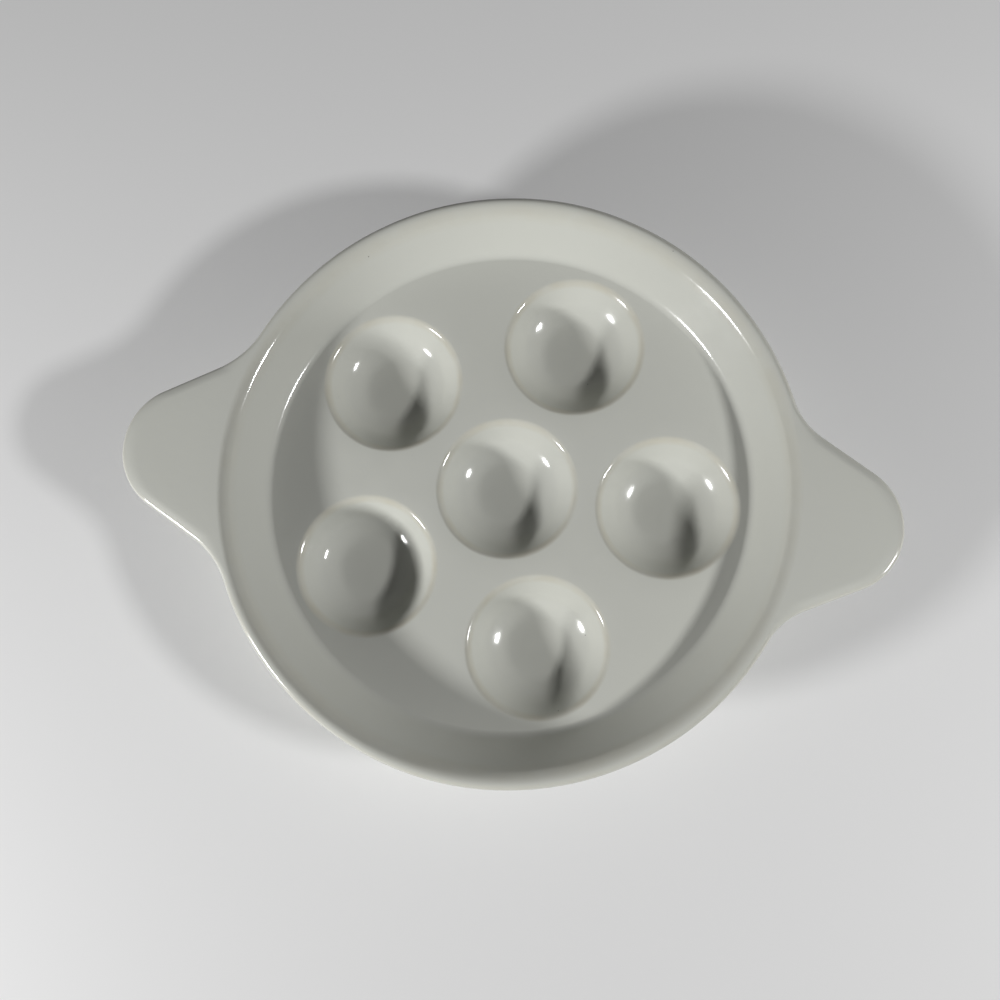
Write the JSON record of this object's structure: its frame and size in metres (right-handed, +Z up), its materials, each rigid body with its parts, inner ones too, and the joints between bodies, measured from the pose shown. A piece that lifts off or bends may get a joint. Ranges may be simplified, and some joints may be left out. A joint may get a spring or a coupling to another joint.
{
  "type": "escargot dish",
  "caption": "Round glazed porcelain dish with hemispherical wells in a flat floor, a sloping rolled rim, flat carrying ears and a foot ring, for baking and serving snails.",
  "frame": {"origin": "on the table, on the dish's axis, under the middle well", "axes": "+X through the right ear and one outer well, +Y across the dish, +Z up out of the wells"},
  "size_m": [0.211, 0.1602, 0.0261],
  "materials": {
    "floor_glaze": "glossy white glaze",
    "well_glaze": "glossy white glaze",
    "wall_glaze": "glossy white glaze",
    "lug_glaze": "glossy white glaze",
    "foot_bisque": "unglazed, dry"
  },
  "bodies": {
    "root": {"floor": "floor_glaze", "well_centre": "well_glaze", "well_1": "well_glaze", "well_2": "well_glaze", "well_3": "well_glaze", "well_4": "well_glaze", "well_5": "well_glaze", "rim_wall": "wall_glaze", "lug_right": "lug_glaze", "lug_left": "lug_glaze", "foot_ring": "foot_bisque"}
  },
  "joints": []
}
